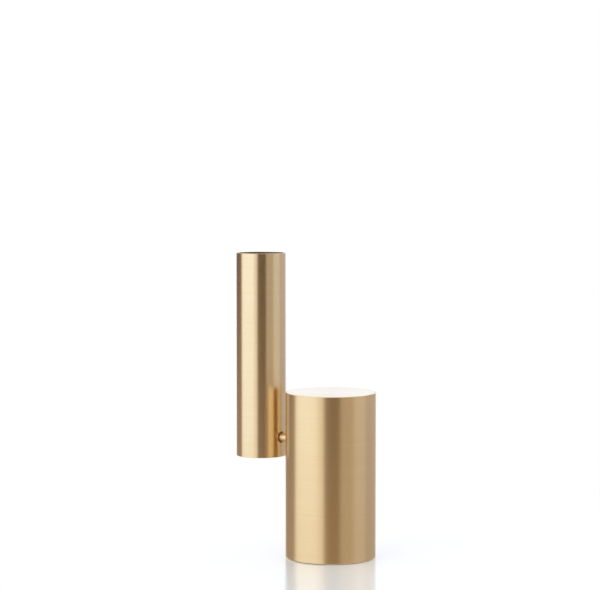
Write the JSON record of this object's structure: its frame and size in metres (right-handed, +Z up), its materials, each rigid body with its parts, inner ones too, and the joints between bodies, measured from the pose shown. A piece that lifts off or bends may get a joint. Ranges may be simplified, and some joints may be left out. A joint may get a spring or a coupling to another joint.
{
  "type": "candlestick vase",
  "caption": "Weighted brushed-brass cylinder that carries a slender open brass tube for flower stems beside it on a round friction peg.",
  "frame": {"origin": "centre of the foot pad's underside, on the table and on the heavy cylinder's axis", "axes": "+Z up along both cylinders; the peg lies along X, with the tube on the -X side"},
  "size_m": [0.1125, 0.0654, 0.2195],
  "materials": {
    "brushed_brass": "brushed round the axis",
    "turned_brass": "fine turned",
    "raw_brass": "as sawn",
    "plated_steel": "zinc plated",
    "cast_iron": "as cast",
    "foot_rubber": "matte",
    "seal_rubber": "smooth",
    "brown_fibre": "vulcanised fibre"
  },
  "bodies": {
    "base": {"base_sleeve": "brushed_brass", "base_cap": "turned_brass", "base_plate": "plated_steel", "tie_rod": "plated_steel", "plate_nut": "plated_steel", "base_ballast": "cast_iron", "ballast_nut": "plated_steel", "foot_pad": "foot_rubber", "link_peg": "turned_brass", "saddle_washer": "raw_brass", "lock_washer": "plated_steel", "peg_nut": "plated_steel"},
    "vase": {"vase_tube": "brushed_brass", "vase_plug": "turned_brass", "seal_ring": "seal_rubber", "friction_bush": "brown_fibre", "grub_screw": "plated_steel"}
  },
  "joints": [
    {"name": "tube_swivel", "type": "hinge", "parent": "base", "child": "vase", "pos_m": [-0.0615, 0, 0.084], "axis": [1, 0, 0], "range_deg": [-120, 120]}
  ]
}
